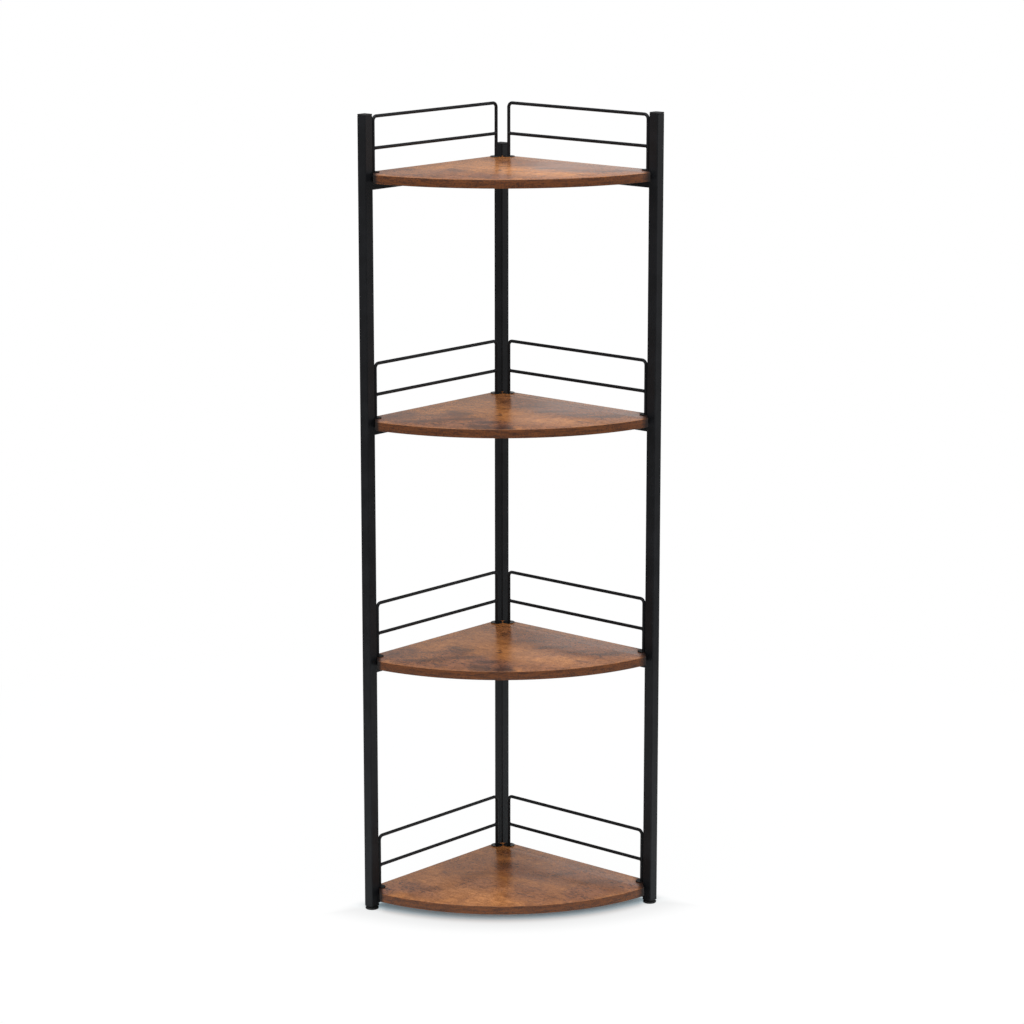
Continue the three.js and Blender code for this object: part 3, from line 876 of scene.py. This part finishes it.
for post in postNames:
    node = f"{post}_top_cap"
    low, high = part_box(node)
    part = capPart(capValues, plugValues, high.x - low.x, high.z - low.z)
    addPiece(node, part, capPlastic, place=boxBase(low, high))
print("caps made")


# Foot inserts: a flange under the post and a plug with a bore for the stud
insertValues = {"flange": 1.0 * mm, "chamfer": 0.15 * mm, "seat": 0.3 * mm, "bore": 3.3 * mm}


def insertPart(values, plug, side, height):
    # The bore's two rings, whose points lie at the outline's angles, close the loop
    corner, chamfer = plug["postCorner"], values["chamfer"]
    top = values["flange"] - values["seat"]
    levels = [(side - 2 * chamfer, corner - chamfer, 0), (side, corner, chamfer), (side, corner, top)]
    outer = squareRings(levels + plugLevels(plug, top, height, side), plug)
    angles = np.arctan2(outer[0, :, 1], outer[0, :, 0])
    circle = values["bore"] * np.stack([np.cos(angles), np.sin(angles)], -1)
    return loopedRings(np.concatenate([outer, [atHeight(circle, height), atHeight(circle, 0)]]))


for post in postNames:
    node = f"{post}_foot_insert"
    low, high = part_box(node)
    part = insertPart(insertValues, plugValues, high.x - low.x, high.z - low.z)
    addPiece(node, part, insertPlastic, place=boxBase(low, high))
print("foot inserts made")


# Levelling feet: round pad, hub and stud
footValues = {"pad": 9.4 * mm, "padHeight": 3.5 * mm, "edge": 1.2 * mm, "edgeSteps": 6,
              "slope": 0.6 * mm, "hub": 6.2 * mm, "hubHeight": 0.5 * mm, "hubSink": 0.15 * mm,
              "hubEase": 0.1 * mm, "stud": 3.0 * mm, "studEase": 0.6 * mm, "sides": 56}


def footPart(values, height):
    # A turned profile: a pad with a quarter round below and above, a slope up to the hub, and the stud
    edge, steps = values["edge"], values["edgeSteps"]
    rim = values["pad"] - edge
    shoulder = values["padHeight"] - values["slope"] - edge
    hub, hubTop = values["hub"], values["padHeight"] + values["hubHeight"]
    profile = np.vstack([
        (rim, 0), roundCorner((rim, edge), edge, -90, 0, steps),
        roundCorner((rim, shoulder), edge, 0, 90, steps),
        (hub, values["padHeight"] - values["hubSink"]), (hub, hubTop - values["hubEase"]),
        (hub - values["hubEase"], hubTop), (values["stud"], hubTop),
        (values["stud"], height - values["studEase"]), (values["stud"] - values["studEase"], height)])
    return closedRings(turnedRings(profile, values["sides"]))


for post in postNames:
    node = f"{post}_foot"
    low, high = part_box(node)
    part = footPart(footValues, high.z - low.z)
    addPiece(node, part, footPlastic, f"{post}_foot_assembly", boxBase(low, high))
print("feet made")


# Board screws: domed head under the tab, and a pointed shank
boardScrewValues = {"radius": 1.75 * mm, "head": 3.6 * mm, "headHeight": 2.2 * mm, "seat": 0.3 * mm,
                    "domeShare": 0.75, "domeSteps": 7, "domeStart": 12,  # degrees from the axis
                    "point": 2.6 * mm, "tip": 0.2 * mm, "sides": 32}


def screwPart(values, length):
    # A screw that points up from its head at z = 0: the dome is a squashed arc
    angles = np.radians(np.linspace(values["domeStart"], 90, values["domeSteps"] + 1))
    rise = values["headHeight"] * values["domeShare"]
    dome = np.stack([values["head"] * np.sin(angles), rise * (1 - np.cos(angles))], -1)
    seat = values["headHeight"] - values["seat"]
    profile = np.vstack([dome, (values["head"], seat), (values["radius"], seat),
                         (values["radius"], length - values["point"]), (values["tip"], length)])
    return closedRings(turnedRings(profile, values["sides"]))


for number in tierNumbers:
    for side in sideNames:
        node = f"{side}_board_screw_{number}"
        low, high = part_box(node)
        part = screwPart(boardScrewValues, high.z - low.z)
        addPiece(node, part, screwZinc, place=boxBase(low, high))
print("board screws made")


# Studio: white floor and surroundings, a broad light above and soft ones round the sides. To the
# camera the floor's shadow is shaped with painted light and shade. A pair of the floor's values is
# two distances in metres from the back post, between which a share rises to 1
floorValues = {
    "size": 60.0, "colour": (0.88, 0.94, 0.955, 1), "fade": (0.7, 1.3), "lift": 0.13, "reflected": 0.33,
    "shadow": (0.246, 0.288), "shadowWidth": 0.88, "wallFade": 0.035, "shadowLift": 0.13,
    "nearShare": 0.84, "shadowTint": (0.65, 0.93, 1.07, 1), "tintFade": 1.6, "wallTintFade": 2,
    "paintedTailGrey": 0.86, "tail": (0.273, 0.335),
}
worldValues = {"ambient": 0.64, "reflected": 0.33}
lightValues = {
    "top light": {"power": 104, "size": (3.2, 3.2), "place": (0.6, -0.9, 3.4), "aim": (0.1, -0.1, 0.4)},
    "left light": {"power": 3, "size": (2, 2), "place": (-1.8, -3.6, 0.7), "aim": (0.1, -0.1, 0.4)},
    "right light": {"power": 26, "size": (2, 2), "place": (3.0, 3.1, 1.7), "aim": (0.1, -0.1, 0.8)},
    "back light": {"power": 4.9, "size": (2.5, 1.25), "place": (-2.86, 5.2, 2.1),
                   "aim": (0.1, -0.1, 0.6)},
}


def floorMaterial(values):
    tree = Tree(bpy.data.materials.new("floor"))
    lit = tree.add("ShaderNodeBsdfDiffuse", None, Color=values["colour"])
    cameraRay = tree.add("ShaderNodeLightPath", output="Is Camera Ray")
    place = tree.objectCoordinates()
    faded = tree.length(place).ramp(*values["fade"])
    wide = faded.line(values["lift"], 1 - values["lift"])
    # To the camera, painted light: emission turns the floor white outside a shape under the lowest board
    # and behind the walls, and lifts the cast shadow inside it
    behind = (0 - tree.along(place, "X")).larger(tree.along(place, "Y")).ramp(0, values["wallFade"])
    radius = tree.length(tree.diagonal(place, values["shadowWidth"]))
    outside = radius.ramp(*values["shadow"]).larger(behind)
    near = outside.line(values["shadowLift"], values["nearShare"]).larger(faded)
    share = wide + (near - wide) * cameraRay
    # A painted grey tail runs round the shadow, and painted cool light in the shadow takes out the warm
    # bounce from the board
    paintedTailShare = radius.ramp(*values["tail"]).larger(behind)
    white = tree.mix(paintedTailShare, greyColour(values["paintedTailGrey"]), greyColour(1))
    untinted = (outside * values["tintFade"] + behind * values["wallTintFade"]).clamped()
    white = tree.mix(untinted, values["shadowTint"], white)
    farColour = tree.mix(cameraRay, greyColour(values["reflected"]), white)
    far = tree.add("ShaderNodeEmission", None, farColour, 1.0)
    return tree.finish(tree.add("ShaderNodeMixShader", None, share, lit, far))


def addFloor(values):
    half = values["size"] / 2
    corners = [(-half, -half, 0), (half, -half, 0), (half, half, 0), (-half, half, 0)]
    floor = makeObject("floor", corners, [[0, 1, 2, 3]])
    floor.data.materials.append(floorMaterial(values))


def addWorld(values):
    # White to the camera, darker in reflections, and a soft grey as light
    tree = Tree(bpy.data.worlds.new("studio"), "ShaderNodeOutputWorld")
    glossyRay = tree.add("ShaderNodeLightPath", output="Is Glossy Ray")
    cameraRay = tree.add("ShaderNodeLightPath", output="Is Camera Ray")
    colour = tree.mix(glossyRay, greyColour(values["ambient"]), greyColour(values["reflected"]))
    colour = tree.mix(cameraRay, colour, greyColour(1))
    bpy.context.scene.world = tree.finish(tree.add("ShaderNodeBackground", None, colour, 1.0))


def addAreaLight(name, values):
    light = bpy.data.lights.new(name, "AREA")
    light.energy = values["power"]
    light.shape = "RECTANGLE"
    light.size, light.size_y = values["size"]
    lamp = bpy.data.objects.new(name, light)
    lamp.location = values["place"]
    aim = Vector(values["aim"]) - Vector(values["place"])
    lamp.rotation_euler = aim.to_track_quat("-Z", "Y").to_euler()
    bpy.context.scene.collection.objects.link(lamp)


addFloor(floorValues)
addWorld(worldValues)
for name, values in lightValues.items():
    addAreaLight(name, values)
print("studio made")


# Camera, fitted to the photograph
cameraValues = {"lens": 118.58, "sensor": 36, "farthest": 100, "place": (3.14719, -3.58137, 1.58075),
                "turn": (77.54, 0.0, 41.1285)}  # degrees
camera = bpy.data.cameras.new("camera")
camera.lens = cameraValues["lens"]
camera.sensor_width = cameraValues["sensor"]
camera.clip_end = cameraValues["farthest"]
cameraObject = bpy.data.objects.new("camera", camera)
cameraObject.location = cameraValues["place"]
cameraObject.rotation_euler = [math.radians(angle) for angle in cameraValues["turn"]]
bpy.context.scene.collection.objects.link(cameraObject)
bpy.context.scene.camera = cameraObject
bpy.context.scene.view_settings.view_transform = "Standard"
